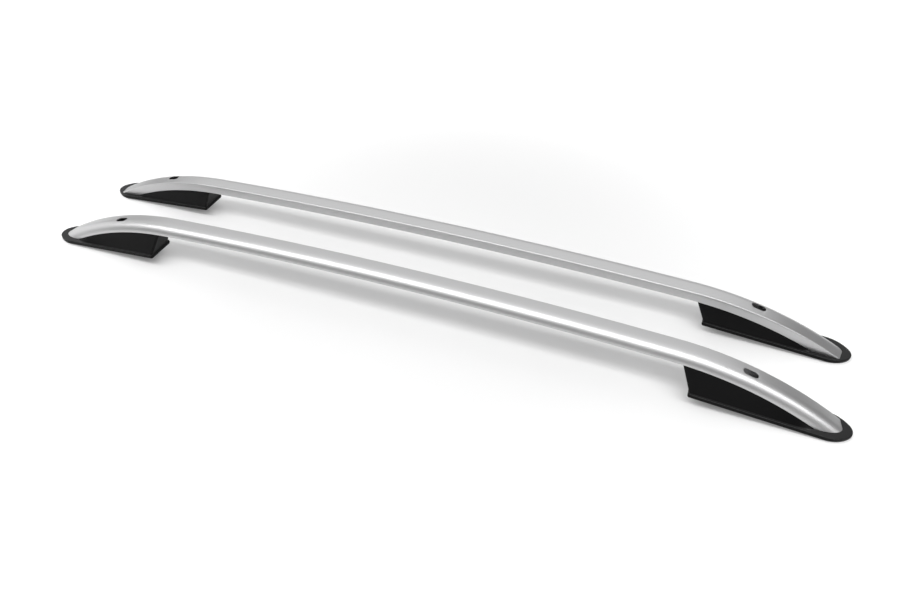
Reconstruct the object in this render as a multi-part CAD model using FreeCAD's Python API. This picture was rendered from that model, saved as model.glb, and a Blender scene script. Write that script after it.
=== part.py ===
import FreeCAD, Part
import math
import os

# A pair of roof rails for a car. Each is one hollow aluminium extrusion, bent into a long low arch,
# on two moulded plastic feet with rubber gaskets under them. The left rail is the mirror of the right.
# Millimetres, +Z up, +X to the front of the car and +Y to its left. The origin is on the floor,
# midway along the rails and midway between them.
# A rail is built upright in the plane y = 0 with its outer side to +Y, then leaned and moved out.

# The pair
overall_length = 1800.0
rail_spacing = 211.0
lean_deg = 5.5

# Section of the extrusion: flat inner wall, flat top and one large round on the outer side
section_width = 46.5
section_height = 22.3
shoulder_radius = 24.0
crest_radius = 2.5
edge_radius = 1.0
rail_wall = 2.2
rail_floor = 3.0
hollow_corner_radius = 1.2

# Arch along the underside: a long crown, then one bend down to each foot, where the rail stops short
# of the flange's tip
arch_height = 97.0
crown_radius = 11000.0
bend_radius = 662.0
rail_end_setback = 18.0
rail_corner_radius = 7.0

# Foot: a hollow moulding, open below, on a flange that is pitched to follow the roof
foot_length = 295.0
foot_pitch_deg = 4.6
foot_wall = 3.0
roof_thickness = 4.0
end_rake_deg = 24.0
end_corner_radius = 4.0
flange_half_width = 34.0
flange_thickness = 6.0
flange_lip = 2.5
flange_round = 1.8
tip_radius = 22.0
tip_side_radius = 60.0
inner_corner_radius = 3.0
edge_inset = 0.8
rail_seat_gap = 0.2

# Ribs and screw bosses under the roof of the foot
rib_thickness = 2.5
rib_depth = 12.0
boss_radius = 6.5
boss_height = 5.0

# Gasket under the flange
gasket_thickness = 2.5
gasket_inset = 1.0

# Screws that hold the foot to the floor of the rail, near the two ends of its roof
inner_screw_setback = 33.0
tip_screw_setback = 140.0
screw_radius = 2.1
screw_fit = 0.15
screw_head_radius = 4.6
screw_head_height = 3.0
screw_reach = 4.0
screw_point = 2.0

# Fixing bolt, midway between the screws: an oblong hole for the tool in the top of the rail, a hole in
# its floor and a sleeve in the foot, which ends where the roof's bracket begins
slot_length = 30.0
slot_width = 15.0
bolt_hole_radius = 3.5
sleeve_bore_radius = 3.3
sleeve_radius = 5.5
sleeve_fit = 0.05
sleeve_seat_gap = 0.2
tower_wall = 3.0
bracket_room = 15.0

# Overlaps and margins of the construction solids, which leave no mark on the part
sink = 2.0
margin = 40.0
loft_stations = 7

X = FreeCAD.Vector(1, 0, 0)
Y = FreeCAD.Vector(0, 1, 0)
Z = FreeCAD.Vector(0, 0, 1)
ORIGIN = FreeCAD.Vector(0, 0, 0)

lean = math.radians(lean_deg)
pitch = math.radians(foot_pitch_deg)
rake = math.radians(end_rake_deg)
flange_top = gasket_thickness + flange_thickness
foot_tip = overall_length / 2 - flange_top * math.sin(pitch)
foot_inner = foot_tip - foot_length
side_reach = section_width + flange_half_width

# The base drops a little, so that the tip of the gasket touches the floor
base_drop = gasket_inset * math.sin(pitch)


def base_height(x, w):
    """Height at x of the plane that lies w above the pitched base of the front foot."""
    return (foot_tip - x) * math.tan(pitch) + w / math.cos(pitch) - base_drop


# The bend runs on from the crown, so its centre lies at the difference of their radii from the crown's
# centre, and the top of the rail meets the flange at rail_end
crown_centre = FreeCAD.Vector(0, 0, arch_height - crown_radius)
rail_end_x = foot_tip - rail_end_setback
rail_end = FreeCAD.Vector(rail_end_x, 0, base_height(rail_end_x, flange_top))
to_crown = crown_radius - bend_radius
to_end = bend_radius + section_height
apart = rail_end.sub(crown_centre).Length
opening = math.acos((to_crown ** 2 + apart ** 2 - to_end ** 2) / (2 * to_crown * apart))
bend_angle = math.atan2(rail_end.x, rail_end.z - crown_centre.z) - opening
bend_start = crown_radius * math.sin(bend_angle)
bend_x = to_crown * math.sin(bend_angle)
bend_z = crown_centre.z + to_crown * math.cos(bend_angle)
bend_centre = FreeCAD.Vector(bend_x, 0, bend_z)
bend_end = math.acos(-(bend_z + margin) / to_end)

# Stations of the screws and of the bolt between them, along the underside of the rail
screw_stations = {"inner": foot_inner + inner_screw_setback, "tip": foot_tip - tip_screw_setback}
bolt_station = sum(screw_stations.values()) / len(screw_stations)


def arc_at(station):
    """Centre and radius of the underside's arc at a station."""
    if station < bend_start:
        return crown_centre, crown_radius
    return bend_centre, bend_radius


def underside(x):
    """Height of the rail's underside at x, with the rail upright."""
    centre, radius = arc_at(x)
    return centre.z + math.sqrt(radius ** 2 - (x - centre.x) ** 2)


def slope(x):
    """Angle by which the rail falls at x."""
    centre, radius = arc_at(x)
    return math.asin((x - centre.x) / radius)


def meeting_station(w):
    """Station at which the rail's underside comes down to the plane w above the base."""
    depth = (foot_tip - bend_x) * math.sin(pitch) - (bend_z + base_drop) * math.cos(pitch) + w
    return bend_x + bend_radius * math.sin(pitch + math.acos(depth / bend_radius))


def leaned(shape):
    """Tip an upright shape inwards about the line that it stands on."""
    placed = shape.copy()
    placed.rotate(ORIGIN, X, lean_deg)
    return placed


def leaned_point(x, n, s):
    """Point of the leaned rail, n out from its middle plane and s up in that plane."""
    y = n * math.cos(lean) - s * math.sin(lean)
    return FreeCAD.Vector(x, y, n * math.sin(lean) + s * math.cos(lean))


def on_foot(shape):
    """Put a shape that is drawn flat, with its tip at x = 0, on the pitched base of the front foot."""
    placed = shape.copy()
    placed.rotate(ORIGIN, Y, foot_pitch_deg)
    placed.translate(FreeCAD.Vector(foot_tip, 0, -base_drop))
    return placed


def on_rail(shape, station):
    """Stand a shape square on the rail's underside, at a station of its front half."""
    placed = shape.copy()
    placed.rotate(ORIGIN, Y, math.degrees(slope(station)))
    placed.translate(FreeCAD.Vector(station, 0, underside(station)))
    return leaned(placed)


def cylinder(radius, bottom, top):
    """Upright cylinder on the z axis between two heights."""
    return Part.makeCylinder(radius, top - bottom, FreeCAD.Vector(0, 0, bottom), Z)


def plate(x_low, x_high, half_width, z_low, z_high):
    """Upright block, centred across the part."""
    corner = FreeCAD.Vector(x_low, -half_width, z_low)
    return Part.makeBox(x_high - x_low, 2 * half_width, z_high - z_low, corner)


def flat_point(x, y, radius, angle):
    """Point on a circle that lies flat."""
    return FreeCAD.Vector(x + radius * math.cos(angle), y + radius * math.sin(angle), 0)


def rounded_outline(arcs):
    """Flat face whose corners are arcs (x, y, radius, start, end), joined by straight sides."""
    edges = []
    for number, (x, y, radius, start, end) in enumerate(arcs):
        first = flat_point(x, y, radius, start)
        middle = flat_point(x, y, radius, (start + end) / 2)
        last = flat_point(x, y, radius, end)
        edges.append(Part.Arc(first, middle, last).toShape())
        after = arcs[(number + 1) % len(arcs)]
        corner = flat_point(*after[:4])
        if last.distanceToPoint(corner) > 1e-6:
            edges.append(Part.makeLine(last, corner))
    return Part.Face(Part.Wire(edges))


def arch_point(centre, radius, angle):
    """Point of an arc in the plane of the arch, with the angle taken from straight up."""
    return centre + FreeCAD.Vector(radius * math.sin(angle), 0, radius * math.cos(angle))


def arch_edge(centre, radius, start, end):
    """Arc in the plane of the arch between two angles."""
    middle = arch_point(centre, radius, (start + end) / 2)
    return Part.Arc(arch_point(centre, radius, start), middle, arch_point(centre, radius, end)).toShape()


def space_above(drop):
    """All that lies over the front half of the rail's underside, lowered by drop and leaned with it."""
    crown = arch_edge(crown_centre, crown_radius - drop, 0, bend_angle)
    bend = arch_edge(bend_centre, bend_radius - drop, bend_angle, bend_end)
    ceiling = arch_height + section_height + margin
    first = arch_point(crown_centre, crown_radius - drop, 0)
    last = arch_point(bend_centre, bend_radius - drop, bend_end)
    over_last = FreeCAD.Vector(last.x, 0, ceiling)
    over_first = FreeCAD.Vector(first.x, 0, ceiling)
    roof = Part.makePolygon([last, over_last, over_first, first])
    face = Part.Face(Part.Wire([crown, bend] + roof.Edges))
    face.translate(Y * -side_reach)
    return leaned(face.extrude(Y * 2 * side_reach))


# Rail

def section_point(n, s):
    """Point of the rail's section, n outwards and s up from the middle of its underside."""
    return FreeCAD.Vector(0, n, s)


def section_arc(n, s, radius, start, end):
    """Arc of the section about (n, s), with angles taken from outwards to up."""
    angles = (start, (start + end) / 2, end)
    points = [section_point(n + radius * math.cos(a), s + radius * math.sin(a)) for a in angles]
    return Part.Arc(*points).toShape()


def section_face():
    """Section of the extrusion, with its one hollow."""
    half = section_width / 2
    shoulder_s = section_height - shoulder_radius
    shoulder_start = math.asin((edge_radius - shoulder_s) / shoulder_radius)
    shoulder_n = half - shoulder_radius * math.cos(shoulder_start)
    edge_n = half - edge_radius
    crest_n = crest_radius - half
    crest_s = section_height - crest_radius
    right = math.pi / 2
    outer = [
        section_arc(edge_n, edge_radius, edge_radius, -right, 0),
        section_arc(shoulder_n, shoulder_s, shoulder_radius, shoulder_start, right),
        Part.makeLine(section_point(shoulder_n, section_height), section_point(crest_n, section_height)),
        section_arc(crest_n, crest_s, crest_radius, right, 2 * right),
        Part.makeLine(section_point(-half, crest_s), section_point(-half, edge_radius)),
        section_arc(-edge_n, edge_radius, edge_radius, 2 * right, 3 * right),
        Part.makeLine(section_point(-edge_n, 0), section_point(edge_n, 0)),
    ]
    hollow_radius = shoulder_radius - rail_wall
    hollow_start = math.asin((rail_floor - shoulder_s) / hollow_radius)
    hollow_n = shoulder_n + hollow_radius * math.cos(hollow_start)
    hollow_top = section_height - rail_wall
    wall_n = rail_wall - half
    corner_n = wall_n + hollow_corner_radius
    corner_top = hollow_top - hollow_corner_radius
    corner_low = rail_floor + hollow_corner_radius
    hollow = [
        section_arc(shoulder_n, shoulder_s, hollow_radius, hollow_start, right),
        Part.makeLine(section_point(shoulder_n, hollow_top), section_point(corner_n, hollow_top)),
        section_arc(corner_n, corner_top, hollow_corner_radius, right, 2 * right),
        Part.makeLine(section_point(wall_n, corner_top), section_point(wall_n, corner_low)),
        section_arc(corner_n, corner_low, hollow_corner_radius, 2 * right, 3 * right),
        Part.makeLine(section_point(corner_n, rail_floor), section_point(hollow_n, rail_floor)),
    ]
    return Part.Face(Part.Wire(outer)).cut(Part.Face(Part.Wire(hollow))).Faces[0]


def bent_rail():
    """The extrusion, bent to its arch and leaned, before it is cut to length and drilled."""
    section = section_face()
    section.translate(FreeCAD.Vector(0, 0, arch_height))
    turn = math.degrees(bend_angle)
    section.rotate(crown_centre, Y, turn)
    crown = section.revolve(crown_centre, Y, -2 * turn)
    front = section.revolve(bend_centre, Y, math.degrees(bend_end) - turn)
    rear = front.mirror(ORIGIN, X)
    return leaned(crown.fuse([front, rear]).removeSplitter())


def both_ends(shape):
    """A cutter at the front of the rail and its mirror at the rear."""
    return [shape, shape.mirror(ORIGIN, X)]


def tool_slot():
    """Cutter for the oblong hole in the top of the rail, through which the fixing bolt goes in."""
    radius = slot_width / 2
    centre = slot_length / 2 - radius
    right = math.pi / 2
    outline = rounded_outline([(centre, 0, radius, -right, right), (-centre, 0, radius, right, 3 * right)])
    outline.translate(Z * (section_height / 2))
    return on_rail(outline.extrude(Z * section_height), bolt_station)


def corner_cutter():
    """Cutter that rounds the inner corner of the rail's end. The lean makes that end run askew."""
    end_angle = math.asin((rail_end_x - bend_x) / to_end) - pitch
    skew = math.sin(lean) / math.tan(end_angle)
    wall_y = -section_width / 2
    centre_y = wall_y + rail_corner_radius
    centre_x = rail_end_x + skew * centre_y - rail_corner_radius
    start = -math.pi / 2
    end = -math.atan(skew)
    angles = (start, (start + end) / 2, end)
    first, middle, last = (flat_point(centre_x, centre_y, rail_corner_radius, a) for a in angles)
    far_x = rail_end_x + margin
    far_y = wall_y - margin
    outside = [(far_x, last.y), (far_x, far_y), (first.x, far_y)]
    sides = Part.makePolygon([last] + [FreeCAD.Vector(x, y, 0) for x, y in outside] + [first])
    face = Part.Face(Part.Wire([Part.Arc(first, middle, last).toShape()] + sides.Edges))
    return leaned(face.extrude(Z * (arch_height + section_height)))


def make_rail():
    """The finished extrusion, cut along the top of each flange, with its slots and holes."""
    below = plate(-foot_length, foot_length, side_reach, -foot_length, flange_top + rail_seat_gap)
    cutters = both_ends(on_foot(below)) + both_ends(corner_cutter()) + both_ends(tool_slot())
    bolt_hole = cylinder(bolt_hole_radius, -sink, rail_floor + sink)
    cutters += both_ends(on_rail(bolt_hole, bolt_station))
    pilot_hole = cylinder(screw_radius + screw_fit, -sink, rail_floor + sink)
    for station in screw_stations.values():
        cutters += both_ends(on_rail(pilot_hole, station))
    return bent_rail().cut(cutters)


# Foot

def flange_outline(inset):
    """Outline of the flange drawn flat, with its tip at x = 0, drawn in by inset all round."""
    side_y = tip_side_radius - flange_half_width
    side_back = math.sqrt((tip_side_radius - tip_radius) ** 2 - side_y ** 2)
    side_x = -tip_radius - side_back
    spread = math.atan2(side_y, side_back)
    side = tip_side_radius - inset
    inner_x = inset + inner_corner_radius - foot_length
    inner_y = flange_half_width - inset - inner_corner_radius
    right = math.pi / 2
    return rounded_outline([
        (-tip_radius, 0, tip_radius - inset, -spread, spread),
        (side_x, -side_y, side, spread, right),
        (inner_x, inner_y, inner_corner_radius, right, 2 * right),
        (inner_x, -inner_y, inner_corner_radius, 2 * right, 3 * right),
        (side_x, side_y, side, -right, -spread),
    ])


def flange():
    """Base of the foot, with a rounded upper edge."""
    outline = flange_outline(0)
    outline.translate(Z * gasket_thickness)
    solid = outline.extrude(Z * flange_thickness)
    upper = [edge for edge in solid.Edges if edge.BoundBox.ZMin > flange_top - flange_round]
    return on_foot(solid.makeFillet(flange_round, upper))


def cross_section(x, inset, w):
    """Outline across the foot at x: from the plane w of its base to just over the rail's underside."""
    low = base_height(x, w)
    low_half = flange_half_width - flange_lip - inset
    high = underside(x) + sink
    high_half = section_width / 2 - edge_inset - inset
    corners = [
        FreeCAD.Vector(x, -low_half, low),
        FreeCAD.Vector(x, low_half, low),
        leaned_point(x, high_half, high),
        leaned_point(x, -high_half, high),
    ]
    return Part.makePolygon(corners + corners[:1])


def inner_end(wall):
    """All that lies inboard of the raked inner end of the foot, less its wall."""
    block = plate(-foot_length, 0, side_reach, -foot_length, foot_length)
    block.rotate(ORIGIN, Y, -end_rake_deg)
    x = foot_inner + flange_lip
    block.translate(FreeCAD.Vector(x + wall / math.cos(rake), 0, base_height(x, flange_top)))
    return block


def side_loft(inset, w, end_station, roof, wall):
    """Flared body under the rail: lofted along the foot, then cut along the roof and the inner end."""
    first = foot_inner - margin
    step = (end_station - first) / (loft_stations - 1)
    sections = [cross_section(first + step * number, inset, w) for number in range(loft_stations)]
    return Part.makeLoft(sections, True).cut([space_above(roof), inner_end(wall)])


def eased_end(body):
    """The body with the two upright corners of its raked inner end rounded."""
    flats = [face for face in body.Faces if face.Surface.TypeId == "Part::GeomPlane"]
    end = min(flats, key=lambda face: face.normalAt(0, 0).x)
    corners = [edge for edge in end.Edges if edge.BoundBox.ZLength > flange_half_width]
    return body.makeFillet(end_corner_radius, corners)


def cavity():
    """Hollow of the foot, open below."""
    roof = rail_seat_gap + roof_thickness
    end_station = meeting_station(flange_top + roof)
    return side_loft(foot_wall, -sink, end_station, roof, foot_wall)


def ribs(hollow):
    """Ribs under the roof: one along the foot, and one across it on each side of the bolt."""
    depth = rail_seat_gap + roof_thickness + rib_depth
    half = rib_thickness / 2
    high = arch_height + section_height
    plates = [leaned(plate(foot_inner - margin, foot_tip, half, -margin, high))]
    for station in screw_stations.values():
        x = (station + bolt_station) / 2
        plates.append(plate(x - half, x + half, side_reach, -margin, high))
    return hollow.common(space_above(depth)).common(plates[0].fuse(plates[1:]))


def sleeve_end():
    """Lower end of the sleeve on the bolt's axis, at the middle of the bracket's upper face."""
    rise = underside(bolt_station) - base_height(bolt_station, bracket_room)
    return -rise * math.cos(pitch) / math.cos(slope(bolt_station) - pitch)


def make_foot():
    """Foot moulding: flange and flared body, hollow below, with ribs, bosses and the bolt's tower."""
    hollow = cavity()
    in_roof = -(rail_seat_gap + roof_thickness / 2)
    body = eased_end(side_loft(0, flange_top - sink, meeting_station(flange_top), rail_seat_gap, 0))
    tower = on_rail(cylinder(sleeve_radius + tower_wall, sleeve_end(), in_roof), bolt_station)
    added = [ribs(hollow), tower]
    boss_end = -(rail_seat_gap + roof_thickness + boss_height)
    holes = [on_rail(cylinder(sleeve_radius + sleeve_fit, sleeve_end() - sink, sink), bolt_station)]
    for station in screw_stations.values():
        added.append(on_rail(cylinder(boss_radius, boss_end, in_roof), station))
        holes.append(on_rail(cylinder(screw_radius + screw_fit, boss_end - sink, sink), station))
        holes.append(on_rail(cylinder(boss_radius, boss_end - rib_depth, boss_end), station))
    return flange().fuse(body).cut(hollow).fuse(added).cut(holes).removeSplitter()


def make_gasket():
    """Flat rubber ring that covers the rim of the flange, between it and the roof of the car."""
    ring = flange_outline(gasket_inset).cut(flange_outline(flange_lip + foot_wall))
    return on_foot(ring.Faces[0].extrude(Z * gasket_thickness))


def make_sleeve():
    """Steel tube in the tower, which takes the bolt's load past the plastic."""
    tube = cylinder(sleeve_radius, sleeve_end(), -sleeve_seat_gap)
    return on_rail(tube.cut(cylinder(sleeve_bore_radius, sleeve_end() - sink, sink)), bolt_station)


def make_screw(station):
    """Pan-head screw, up through a boss of the foot into the floor of the rail."""
    seat = -(rail_seat_gap + roof_thickness + boss_height)
    end = rail_floor + screw_reach
    crown = screw_head_height / 2
    rim = seat - crown
    head = cylinder(screw_head_radius, rim, seat)
    dome = Part.makeCone(screw_head_radius - crown, screw_head_radius, crown, Z * (rim - crown), Z)
    shank_end = end - screw_point
    shank = cylinder(screw_radius, rim, shank_end)
    point = Part.makeCone(screw_radius, screw_radius / 2, screw_point, Z * shank_end, Z)
    return on_rail(head.fuse([dome, shank, point]).removeSplitter(), station)


# The left rail's pieces, then the right ones as their mirrors

front_pieces = {
    "foot": make_foot(),
    "gasket": make_gasket(),
    "sleeve": make_sleeve(),
}
for place, station in screw_stations.items():
    front_pieces[place + "_screw"] = make_screw(station)

left_pieces = {"rail": make_rail()}
for name, shape in front_pieces.items():
    left_pieces["front_" + name] = shape
    left_pieces["rear_" + name] = shape.mirror(ORIGIN, X)

os.makedirs("parts", exist_ok=True)
for name, shape in left_pieces.items():
    left = shape.copy()
    left.translate(Y * (rail_spacing / 2))
    left.exportStep("parts/left_" + name + ".step")
    left.mirror(ORIGIN, Y).exportStep("parts/right_" + name + ".step")
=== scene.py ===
import math

import bpy
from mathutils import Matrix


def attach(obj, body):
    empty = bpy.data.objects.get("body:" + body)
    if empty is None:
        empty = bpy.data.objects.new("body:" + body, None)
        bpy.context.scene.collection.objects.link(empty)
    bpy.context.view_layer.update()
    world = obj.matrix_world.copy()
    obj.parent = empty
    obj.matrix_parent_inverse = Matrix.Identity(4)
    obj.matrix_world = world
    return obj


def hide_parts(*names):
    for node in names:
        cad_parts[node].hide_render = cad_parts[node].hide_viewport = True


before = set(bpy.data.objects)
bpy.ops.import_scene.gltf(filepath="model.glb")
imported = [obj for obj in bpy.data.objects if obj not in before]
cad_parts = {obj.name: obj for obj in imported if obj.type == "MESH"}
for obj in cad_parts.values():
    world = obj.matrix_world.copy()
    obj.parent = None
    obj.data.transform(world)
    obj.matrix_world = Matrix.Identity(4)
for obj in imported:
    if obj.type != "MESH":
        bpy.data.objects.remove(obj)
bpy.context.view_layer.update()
bpy.ops.object.select_all(action="DESELECT")


# Rails. Each is one hollow aluminium extrusion with a flat top, a flat inner wall and one large round
# on its outer side. It is bent into a long low arch, slotted over each foot, cut along the top of the feet
# and satin anodised. The left rail is modelled, and the right one is its mirror.

section_width = 0.0465
section_height = 0.0223
shoulder_radius = 0.024
shoulder_segments = 32
crest_radius = 0.0025
crest_segments = 8
edge_radius = 0.001
edge_segments = 4
rail_wall = 0.0022
rail_floor = 0.003
hollow_corner_radius = 0.0012

arch_height = 0.097
crown_radius = 11.0
bend_radius = 0.662
bend_start = 0.5664
bend_turn = math.radians(35.1)
crown_steps = 30
bend_steps = 72

rail_offset = 0.1055
rail_lean = math.radians(5.5)
foot_pitch = math.radians(4.6)
flange_tip = 0.89932
flange_tip_height = 0.00865

slot_length = 0.030
slot_width = 0.015
slot_station = 0.69832
slot_end_segments = 16
slot_rim = 0.0004
slot_rim_segments = 3
rail_corner_radius = 0.007
rail_corner_x = 0.87113
rail_corner_vertices = 96
sharp_angle = math.radians(60.0)
smooth_angle = math.radians(30.0)

half_width = section_width / 2
shoulder_drop = shoulder_radius - section_height
shoulder_lean = math.asin((edge_radius + shoulder_drop) / shoulder_radius)
shoulder_reach = half_width + shoulder_radius * (1 - math.cos(shoulder_lean))
bend_angle = math.asin(bend_start / crown_radius)
crown_centre = (0.0, 0.0, arch_height - crown_radius)
to_bend = crown_radius - bend_radius
bend_centre = (to_bend * math.sin(bend_angle), 0.0, crown_centre[2] + to_bend * math.cos(bend_angle))
slot_slope = math.asin((slot_station - bend_centre[0]) / bend_radius)
slot_radius = bend_radius + section_height
slot_centre = (
    bend_centre[0] + slot_radius * math.sin(slot_slope),
    0.0,
    bend_centre[2] + slot_radius * math.cos(slot_slope),
)


def pick(piece, wanted):
    """Open a piece in edit mode with the vertices selected whose place passes a test."""
    bpy.ops.object.mode_set(mode="EDIT")
    bpy.ops.mesh.select_mode(type="VERT")
    bpy.ops.mesh.select_all(action="DESELECT")
    bpy.ops.object.mode_set(mode="OBJECT")
    for vertex in piece.data.vertices:
        vertex.select = wanted(vertex.co)
    bpy.ops.object.mode_set(mode="EDIT")


def set_place(piece):
    """Move a piece's place, turn and scale into its mesh."""
    bpy.ops.object.transform_apply(location=True, rotation=True, scale=True)
    return piece


def finish_modifier(piece, kind, **values):
    """Add one modifier to the active piece and apply it."""
    modifier = piece.modifiers.new(kind.title(), kind)
    for name, value in values.items():
        setattr(modifier, name, value)
    bpy.ops.object.modifier_apply(modifier=modifier.name)


def section_outline(inset, bottom, crest, edge):
    """One outline of the rail's middle section, outer side to +Y: the outside or the hollow."""
    near = 1e-5
    radius = shoulder_radius - inset
    wall = inset - half_width
    reach = shoulder_reach - inset
    bpy.ops.mesh.primitive_plane_add(size=1.0, rotation=(0.0, math.pi / 2, 0.0))
    piece = bpy.context.object
    piece.scale = (radius, reach - wall, 1.0)
    piece.location = (0.0, (reach + wall) / 2, radius / 2 - shoulder_drop)
    set_place(piece)
    pick(piece, lambda co: co.y > 0 and co.z > near)
    bpy.ops.mesh.bevel(
        offset=radius - near, segments=shoulder_segments, affect="VERTICES", clamp_overlap=False)
    bpy.ops.object.mode_set(mode="OBJECT")
    pick(piece, lambda co: co.y < wall + near and co.z > near)
    bpy.ops.mesh.bevel(offset=crest, segments=crest_segments, affect="VERTICES", clamp_overlap=False)
    bpy.ops.mesh.select_all(action="SELECT")
    bpy.ops.mesh.bisect(plane_co=(0.0, 0.0, bottom), plane_no=(0.0, 0.0, 1.0), clear_inner=True)
    bpy.ops.object.mode_set(mode="OBJECT")
    pick(piece, lambda co: abs(co.z - bottom) < near)
    bpy.ops.mesh.bevel(offset=edge, segments=edge_segments, affect="VERTICES", clamp_overlap=False)
    bpy.ops.mesh.select_all(action="SELECT")
    bpy.ops.mesh.delete(type="ONLY_FACE")
    bpy.ops.object.mode_set(mode="OBJECT")
    return piece


def swept(outline, inwards):
    """Sweep an outline along the front half of the arch and mirror it, as an open tube."""
    bpy.ops.object.mode_set(mode="EDIT")
    bpy.ops.mesh.select_all(action="SELECT")
    bpy.ops.transform.translate(value=(0.0, 0.0, arch_height))
    bpy.ops.mesh.spin(steps=crown_steps, angle=-bend_angle, center=crown_centre, axis=(0.0, 1.0, 0.0))
    bpy.ops.mesh.spin(steps=bend_steps, angle=-bend_turn, center=bend_centre, axis=(0.0, 1.0, 0.0))
    bpy.ops.object.mode_set(mode="OBJECT")
    finish_modifier(outline, "MIRROR", use_axis=(True, False, False), merge_threshold=1e-5)
    bpy.ops.object.mode_set(mode="EDIT")
    bpy.ops.mesh.select_all(action="SELECT")
    bpy.ops.mesh.normals_make_consistent(inside=inwards)
    bpy.ops.object.mode_set(mode="OBJECT")
    return outline


def bent_tube():
    """The whole extrusion, upright, with its hollow, closed at both ends by a flat rim."""
    inside = section_outline(rail_wall, rail_floor, hollow_corner_radius, hollow_corner_radius)
    hollow = swept(inside, inwards=True)
    outside = section_outline(0.0, 0.0, crest_radius, edge_radius)
    tube = swept(outside, inwards=False)
    hollow.select_set(True)
    bpy.ops.object.join()
    for end in (1, -1):
        bpy.ops.object.mode_set(mode="EDIT")
        bpy.ops.mesh.select_mode(type="EDGE")
        bpy.ops.mesh.select_all(action="DESELECT")
        bpy.ops.mesh.select_non_manifold()
        bpy.ops.object.mode_set(mode="OBJECT")
        for edge in tube.data.edges:
            edge.select = edge.select and tube.data.vertices[edge.vertices[0]].co.x * end > 0
        bpy.ops.object.mode_set(mode="EDIT")
        bpy.ops.mesh.bridge_edge_loops()
        bpy.ops.object.mode_set(mode="OBJECT")
    return tube


def slot_cutter():
    """Oblong prism through the top of the rail, square to it, at the front slot."""
    bpy.ops.mesh.primitive_cube_add(size=1.0, location=slot_centre, rotation=(0.0, slot_slope, 0.0))
    piece = bpy.context.object
    piece.scale = (slot_length, slot_width, section_height)
    bpy.ops.object.transform_apply(location=False, rotation=False, scale=True)
    bpy.ops.object.mode_set(mode="EDIT")
    bpy.ops.mesh.select_mode(type="EDGE")
    bpy.ops.mesh.select_all(action="DESELECT")
    bpy.ops.object.mode_set(mode="OBJECT")
    for edge in piece.data.edges:
        low, high = (piece.data.vertices[v].co for v in edge.vertices)
        edge.select = abs(low.z - high.z) > slot_width / 2
    bpy.ops.object.mode_set(mode="EDIT")
    bpy.ops.mesh.bevel(
        offset=slot_width / 2 - 1e-6, segments=slot_end_segments, affect="EDGES", clamp_overlap=False)
    bpy.ops.object.mode_set(mode="OBJECT")
    return set_place(piece)


def corner_cutter():
    """Prism with one hollow side, which rounds the inner corner of the rail's front end."""
    reach = 4 * rail_corner_radius
    height = 4 * section_height
    proud = 0.0001
    inner_y = rail_corner_radius - half_width - proud
    bpy.ops.mesh.primitive_cylinder_add(
        vertices=rail_corner_vertices,
        radius=rail_corner_radius,
        depth=2 * height,
        location=(rail_corner_x, inner_y, 0.0),
    )
    drum = set_place(bpy.context.object)
    block_middle = (rail_corner_x + reach / 2, inner_y - reach / 2, 0.0)
    bpy.ops.mesh.primitive_cube_add(size=1.0, location=block_middle)
    piece = bpy.context.object
    piece.scale = (reach, reach, height)
    set_place(piece)
    finish_modifier(piece, "BOOLEAN", object=drum, operation="DIFFERENCE", solver="EXACT")
    bpy.data.objects.remove(drum)
    return piece


def flange_cutter():
    """Block under the top of the front foot's flange, along which the rail's end is cut off."""
    length = 6 * section_width
    height = 2 * section_width
    middle = (
        flange_tip - height / 2 * math.sin(foot_pitch),
        rail_offset,
        flange_tip_height - height / 2 * math.cos(foot_pitch),
    )
    bpy.ops.mesh.primitive_cube_add(size=1.0, location=middle, rotation=(0.0, foot_pitch, 0.0))
    piece = bpy.context.object
    piece.scale = (length, 2 * section_width, height)
    return set_place(piece)


def cut_both_ends(rail, cutter):
    """Cut a rail with a cutter at its front and with the cutter's mirror at its rear."""
    finish_modifier(cutter, "MIRROR", use_axis=(True, False, False))
    bpy.ops.object.select_all(action="DESELECT")
    rail.select_set(True)
    bpy.context.view_layer.objects.active = rail
    finish_modifier(rail, "BOOLEAN", object=cutter, operation="DIFFERENCE", solver="EXACT")
    bpy.data.objects.remove(cutter)


def make_left_rail():
    """The finished extrusion: slotted, leaned, cut off at both ends, with eased slot rims."""
    rail = bent_tube()
    for make_cutter in (slot_cutter, corner_cutter):
        cut_both_ends(rail, make_cutter())
    rail.rotation_euler = (rail_lean, 0.0, 0.0)
    rail.location = (0.0, rail_offset, 0.0)
    set_place(rail)
    cut_both_ends(rail, flange_cutter())

    bpy.ops.object.mode_set(mode="EDIT")
    bpy.ops.mesh.select_mode(type="EDGE")
    bpy.ops.mesh.select_all(action="DESELECT")
    bpy.ops.mesh.edges_select_sharp(sharpness=sharp_angle)
    bpy.ops.object.mode_set(mode="OBJECT")
    for edge in rail.data.edges:
        place = rail.data.vertices[edge.vertices[0]].co
        beside_slot = abs(abs(place.x) - slot_centre[0]) > slot_length
        under_slot = place.z < slot_centre[2] - section_height / 2
        if beside_slot or under_slot:
            edge.select = False
    bpy.ops.object.mode_set(mode="EDIT")
    bpy.ops.mesh.bevel(offset=slot_rim, segments=slot_rim_segments, affect="EDGES", clamp_overlap=True)
    bpy.ops.object.mode_set(mode="OBJECT")
    bpy.ops.object.shade_smooth_by_angle(angle=smooth_angle)
    return rail


left_rail = make_left_rail()
left_rail.name = "left_anodised_rail"
bpy.ops.object.duplicate()
right_rail = bpy.context.object
right_rail.name = "right_anodised_rail"
right_rail.scale = (1.0, -1.0, 1.0)
set_place(right_rail)
bpy.ops.object.mode_set(mode="EDIT")
bpy.ops.mesh.select_all(action="SELECT")
bpy.ops.mesh.flip_normals()
bpy.ops.object.mode_set(mode="OBJECT")


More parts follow.
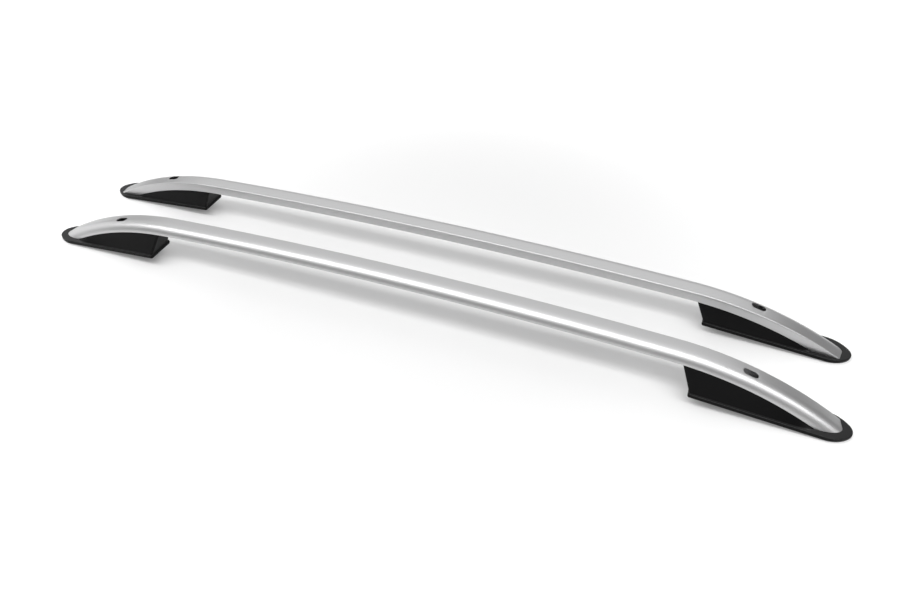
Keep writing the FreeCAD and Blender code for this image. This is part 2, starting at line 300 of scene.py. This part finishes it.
def new_material(name, colour, metallic=0.0):
    """A material with one Principled shader; returns the material, its node tree and the shader."""
    material = bpy.data.materials.new(name)
    material.use_nodes = True
    shader = material.node_tree.nodes["Principled BSDF"]
    shader.inputs["Base Color"].default_value = (*colour, 1.0)
    shader.inputs["Metallic"].default_value = metallic
    return material, material.node_tree, shader


def new_group(name, inputs, output, output_kind):
    """An empty node group with number inputs and one output; returns its tree and its two end nodes."""
    group = bpy.data.node_groups.new(name, "ShaderNodeTree")
    for socket in inputs:
        group.interface.new_socket(socket, in_out="INPUT", socket_type="NodeSocketFloat")
    group.interface.new_socket(output, in_out="OUTPUT", socket_type=output_kind)
    return group, group.nodes.new("NodeGroupInput"), group.nodes.new("NodeGroupOutput")


def use_group(tree, group, **values):
    """Put a node group into a material and set its inputs."""
    node = tree.nodes.new("ShaderNodeGroup")
    node.node_tree = group
    for name, value in values.items():
        node.inputs[name].default_value = value
    return node


def uneven_group():
    """Roughness that wanders softly over a piece between a smoothest and a roughest value."""
    group, start, end = new_group(
        "uneven_finish", ("Scale", "Smoothest", "Roughest"), "Roughness", "NodeSocketFloat")
    place = group.nodes.new("ShaderNodeTexCoord")
    noise = group.nodes.new("ShaderNodeTexNoise")
    span = group.nodes.new("ShaderNodeMapRange")
    group.links.new(place.outputs["Object"], noise.inputs["Vector"])
    group.links.new(start.outputs["Scale"], noise.inputs["Scale"])
    group.links.new(noise.outputs["Fac"], span.inputs["Value"])
    group.links.new(start.outputs["Smoothest"], span.inputs["To Min"])
    group.links.new(start.outputs["Roughest"], span.inputs["To Max"])
    group.links.new(span.outputs["Result"], end.inputs["Roughness"])
    return group


def anodised_aluminium():
    """Satin anodised aluminium with faint drawn lines, which run along the rail and follow its bends."""
    line_scale = (3.0, 1200.0, 0.0)
    line_strength = 0.15
    line_depth = 0.00005
    material, tree, shader = new_material("satin_anodised_aluminium", (0.52, 0.52, 0.523), 1.0)
    uneven = use_group(tree, uneven_finish, Scale=40.0, Smoothest=0.38, Roughest=0.43)
    tree.links.new(uneven.outputs["Roughness"], shader.inputs["Roughness"])
    place = tree.nodes.new("ShaderNodeTexCoord")
    along = tree.nodes.new("ShaderNodeMapping")
    along.inputs["Scale"].default_value = line_scale
    lines = tree.nodes.new("ShaderNodeTexNoise")
    lines.inputs["Scale"].default_value = 1.0
    bump = tree.nodes.new("ShaderNodeBump")
    bump.inputs["Strength"].default_value = line_strength
    bump.inputs["Distance"].default_value = line_depth
    tree.links.new(place.outputs["Object"], along.inputs["Vector"])
    tree.links.new(along.outputs["Vector"], lines.inputs["Vector"])
    tree.links.new(lines.outputs["Fac"], bump.inputs["Height"])
    tree.links.new(bump.outputs["Normal"], shader.inputs["Normal"])
    return material


uneven_finish = uneven_group()
aluminium = anodised_aluminium()
for rail, node in ((left_rail, "left_rail"), (right_rail, "right_rail")):
    rail.data.materials.append(aluminium)
    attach(rail, "root")
    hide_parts(node)


# Feet and gaskets. The feet are black plastic mouldings with a fine spark-eroded grain, and the gaskets
# under them are soft matt rubber. Both keep the solids' own shapes and only take their finish here.

def grain_group():
    """Fine grain of a mould's surface, as a bump."""
    group, start, end = new_group(
        "moulded_grain", ("Scale", "Strength", "Depth"), "Normal", "NodeSocketVector")
    place = group.nodes.new("ShaderNodeTexCoord")
    noise = group.nodes.new("ShaderNodeTexNoise")
    bump = group.nodes.new("ShaderNodeBump")
    group.links.new(place.outputs["Object"], noise.inputs["Vector"])
    group.links.new(start.outputs["Scale"], noise.inputs["Scale"])
    group.links.new(noise.outputs["Fac"], bump.inputs["Height"])
    group.links.new(start.outputs["Strength"], bump.inputs["Strength"])
    group.links.new(start.outputs["Depth"], bump.inputs["Distance"])
    group.links.new(bump.outputs["Normal"], end.inputs["Normal"])
    return group


def moulded(name, colour, smoothest, roughest, grain_strength):
    """A black moulded material with an uneven finish, a fine grain and only a weak sheen."""
    weak_sheen = 0.12
    material, tree, shader = new_material(name, colour)
    shader.inputs["Specular IOR Level"].default_value = weak_sheen
    uneven = use_group(tree, uneven_finish, Scale=60.0, Smoothest=smoothest, Roughest=roughest)
    grain = use_group(tree, moulded_grain, Scale=1500.0, Strength=grain_strength, Depth=0.0001)
    tree.links.new(uneven.outputs["Roughness"], shader.inputs["Roughness"])
    tree.links.new(grain.outputs["Normal"], shader.inputs["Normal"])
    return material


def dress(ending, material):
    """Give a better material to every solid whose name has this ending."""
    for name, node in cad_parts.items():
        if name.endswith(ending):
            for place in node.material_slots:
                place.material = material


def lip_group():
    """Shine of a foot: one value on its body, another on the smoother top edge of its pitched flange."""
    edge_depth, fade_depth = 0.0005, 0.0014
    flange_level = flange_tip_height + flange_tip * math.tan(foot_pitch)
    group, start, end = new_group("foot_lip", ("Body", "Lip"), "Shine", "NodeSocketFloat")
    place = group.nodes.new("ShaderNodeTexCoord")
    split = group.nodes.new("ShaderNodeSeparateXYZ")
    outwards = group.nodes.new("ShaderNodeMath")
    outwards.operation = "ABSOLUTE"
    level = group.nodes.new("ShaderNodeMath")
    level.operation = "MULTIPLY_ADD"
    level.inputs[1].default_value = math.tan(foot_pitch)
    above = group.nodes.new("ShaderNodeMath")
    above.operation = "SUBTRACT"
    above.inputs[1].default_value = flange_level
    away = group.nodes.new("ShaderNodeMath")
    away.operation = "ABSOLUTE"
    shine = group.nodes.new("ShaderNodeMapRange")
    shine.inputs["From Min"].default_value = edge_depth
    shine.inputs["From Max"].default_value = fade_depth
    group.links.new(place.outputs["Object"], split.inputs["Vector"])
    group.links.new(split.outputs["X"], outwards.inputs[0])
    group.links.new(outwards.outputs["Value"], level.inputs[0])
    group.links.new(split.outputs["Z"], level.inputs[2])
    group.links.new(level.outputs["Value"], above.inputs[0])
    group.links.new(above.outputs["Value"], away.inputs[0])
    group.links.new(away.outputs["Value"], shine.inputs["Value"])
    group.links.new(start.outputs["Lip"], shine.inputs["To Min"])
    group.links.new(start.outputs["Body"], shine.inputs["To Max"])
    group.links.new(shine.outputs["Result"], end.inputs["Shine"])
    return group


moulded_grain = grain_group()
foot_plastic = moulded(
    "black_grained_plastic", (0.004, 0.004, 0.0042), smoothest=0.34, roughest=0.42, grain_strength=0.3)
foot_tree = foot_plastic.node_tree
foot_shader = foot_tree.nodes["Principled BSDF"]
foot_shine = use_group(foot_tree, lip_group(), Body=0.08, Lip=0.36)
foot_tree.links.new(foot_shine.outputs["Shine"], foot_shader.inputs["Specular IOR Level"])
dress("_foot", foot_plastic)
gasket_rubber = moulded(
    "black_rubber", (0.006, 0.006, 0.006), smoothest=0.65, roughest=0.75, grain_strength=0.5)
dress("_gasket", gasket_rubber)


# Sleeves and screws. The sleeves are plain steel tubes in the feet and the screws are zinc-plated steel.
# Both sit inside the feet, keep the solids' own shapes and only take their finish here.

def bright_steel(name, colour, smoothest, roughest):
    """Plain or plated steel with an uneven bright finish."""
    material, tree, shader = new_material(name, colour, 1.0)
    uneven = use_group(tree, uneven_finish, Scale=250.0, Smoothest=smoothest, Roughest=roughest)
    tree.links.new(uneven.outputs["Roughness"], shader.inputs["Roughness"])
    return material


sleeve_steel = bright_steel("plain_steel", (0.50, 0.50, 0.51), smoothest=0.35, roughest=0.50)
dress("_sleeve", sleeve_steel)
screw_steel = bright_steel("zinc_plated_steel", (0.66, 0.67, 0.68), smoothest=0.25, roughest=0.38)
dress("_screw", screw_steel)


# Studio. A pale floor fills the view and keeps the soft shadows. Wide soft lamps lie along the rails, from
# the camera's side over to the back, with a small one at their rear ends, in an even grey surround.

def camera_sees(tree):
    """1 for what the camera sees straight or in a reflection or through glass, 0 for stray light."""
    path = tree.nodes.new("ShaderNodeLightPath")
    straight = tree.nodes.new("ShaderNodeMath")
    total = tree.nodes.new("ShaderNodeMath")
    total.use_clamp = True
    tree.links.new(path.outputs["Is Camera Ray"], straight.inputs[0])
    tree.links.new(path.outputs["Is Glossy Ray"], straight.inputs[1])
    tree.links.new(straight.outputs["Value"], total.inputs[0])
    tree.links.new(path.outputs["Is Transmission Ray"], total.inputs[1])
    return total.outputs["Value"]


def pale_floor():
    """White floor, lit and shaded as paper is. A glow that grows away from the rails keeps it white."""
    near_rails, far_off = 0.3, 2.0
    near_glow, far_glow = 0.05, 0.9
    material, tree, shader = new_material("pale_floor", (0.72, 0.72, 0.72))
    shader.inputs["Roughness"].default_value = 0.9
    shader.inputs["Specular IOR Level"].default_value = 0.0
    shader.inputs["Emission Color"].default_value = (1.0, 1.0, 1.0, 1.0)
    place = tree.nodes.new("ShaderNodeTexCoord")
    distance = tree.nodes.new("ShaderNodeVectorMath")
    distance.operation = "LENGTH"
    glow = tree.nodes.new("ShaderNodeMapRange")
    glow.interpolation_type = "SMOOTHSTEP"
    glow.inputs["From Min"].default_value = near_rails
    glow.inputs["From Max"].default_value = far_off
    glow.inputs["To Min"].default_value = near_glow
    glow.inputs["To Max"].default_value = far_glow
    strength = tree.nodes.new("ShaderNodeMath")
    strength.operation = "MULTIPLY"
    tree.links.new(place.outputs["Object"], distance.inputs[0])
    tree.links.new(distance.outputs["Value"], glow.inputs["Value"])
    tree.links.new(glow.outputs["Result"], strength.inputs[0])
    tree.links.new(camera_sees(tree), strength.inputs[1])
    tree.links.new(strength.outputs["Value"], shader.inputs["Emission Strength"])
    return material


floor_size = 40.0
bpy.ops.mesh.primitive_plane_add(size=floor_size)
floor = bpy.context.object
floor.name = "floor"
floor.data.materials.append(pale_floor())


def grey_surround():
    """An even surround, paler where it is seen or mirrored than in the stray light that it gives."""
    shown, light = 0.32, 0.18
    world = bpy.data.worlds.new("grey_surround")
    world.use_nodes = True
    tree = world.node_tree
    background = tree.nodes["Background"]
    background.inputs["Color"].default_value = (1.0, 1.0, 1.0, 1.0)
    strength = tree.nodes.new("ShaderNodeMath")
    strength.operation = "MULTIPLY_ADD"
    strength.inputs[1].default_value = shown - light
    strength.inputs[2].default_value = light
    tree.links.new(camera_sees(tree), strength.inputs[0])
    tree.links.new(strength.outputs["Value"], background.inputs["Strength"])
    return world


bpy.context.scene.world = grey_surround()


def soft_lamp(name, location, turn, length, width, brightness):
    """A wide lamp that shines straight down, or is turned from that about the X and Y axes."""
    bpy.ops.object.light_add(type="AREA", location=location, rotation=(*map(math.radians, turn), 0.0))
    lamp = bpy.context.object
    lamp.name = name
    lamp.data.shape = "RECTANGLE"
    lamp.data.size = length
    lamp.data.size_y = width
    lamp.data.energy = brightness * math.pi * length * width


soft_lamp("main_lamp", (0.3, -0.7, 1.6), (22.0, 0.0), length=5.8, width=0.45, brightness=5.4)
soft_lamp("lamp_in_front", (0.3, -1.25, 1.55), (38.0, 0.0), length=5.8, width=0.5, brightness=1.3)
soft_lamp("lamp_above", (-0.2, -0.1, 1.65), (0.0, 0.0), length=3.0, width=1.1, brightness=0.75)
soft_lamp("lamp_behind", (-0.8, 1.63, 1.28), (-18.0, 0.0), length=5.0, width=2.5, brightness=0.75)
soft_lamp("lamp_at_rear", (-2.6, -0.1, 0.65), (0.0, -90.0), length=1.2, width=1.6, brightness=1.0)


# Camera. It stands where the photo's perspective puts it, and looks down on the rails from the right,
# a little ahead of their middle.

camera_place = (0.5449, -1.1628, 1.0726)
camera_azimuth = math.radians(20.95)
camera_elevation = math.radians(41.29)
camera_roll = math.radians(-0.35)
camera_turn = (math.pi / 2 - camera_elevation, 0.0, camera_azimuth)
bpy.ops.object.camera_add(location=camera_place, rotation=camera_turn)
camera = bpy.context.object
camera.rotation_euler.rotate_axis("Z", camera_roll)
camera.data.sensor_width = 36.0
camera.data.lens = 29.2
bpy.context.scene.camera = camera
bpy.context.scene.view_settings.view_transform = "Standard"
